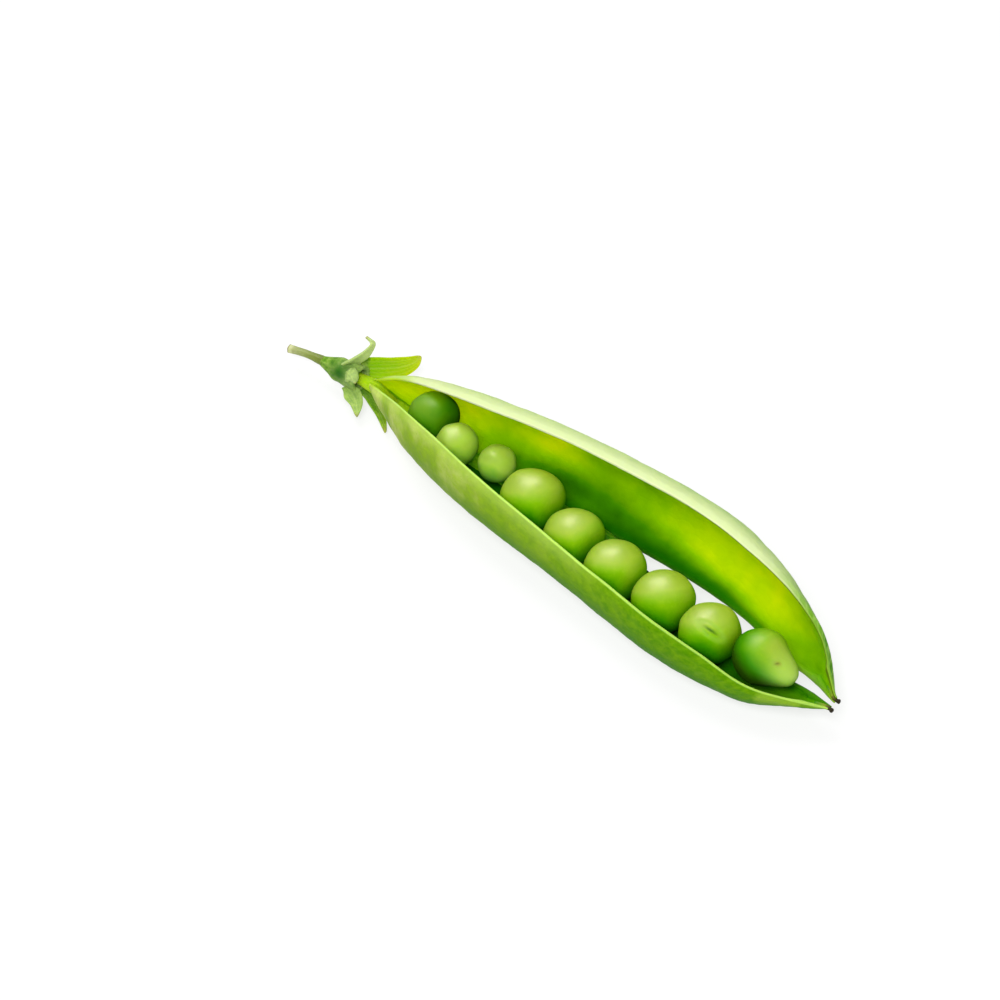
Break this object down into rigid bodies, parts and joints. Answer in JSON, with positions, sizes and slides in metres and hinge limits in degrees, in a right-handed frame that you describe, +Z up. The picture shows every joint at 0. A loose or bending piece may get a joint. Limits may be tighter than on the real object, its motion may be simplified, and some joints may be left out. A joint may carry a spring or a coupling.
{
  "type": "pea pod",
  "caption": "Open garden pea pod lying on its belly, its two valves spread along one side, a row of round peas inside, a leafy calyx and a short stem.",
  "frame": {"origin": "middle of the bounding box's foot, on the surface that the pod lies on", "axes": "+X along the pod from the cut stem to the tip, +Y to the back where the far valve stands, +Z up"},
  "size_m": [0.116, 0.0238, 0.0189],
  "materials": {
    "pod": "smooth fresh green skin with a soft wax bloom, paler at the rims and glossier inside",
    "pea": "smooth green skin with a soft sheen",
    "calyx": "dull grey-green leaf skin",
    "stem": "dull yellow-green, browner towards the cut end"
  },
  "bodies": {
    "root": {"pod_shell": "pod", "calyx": "calyx", "stem": "stem", "pea_1": "pea", "pea_2": "pea", "pea_3": "pea", "pea_4": "pea", "pea_5": "pea", "pea_6": "pea", "pea_7": "pea", "pea_8": "pea", "pea_9": "pea"}
  },
  "joints": []
}
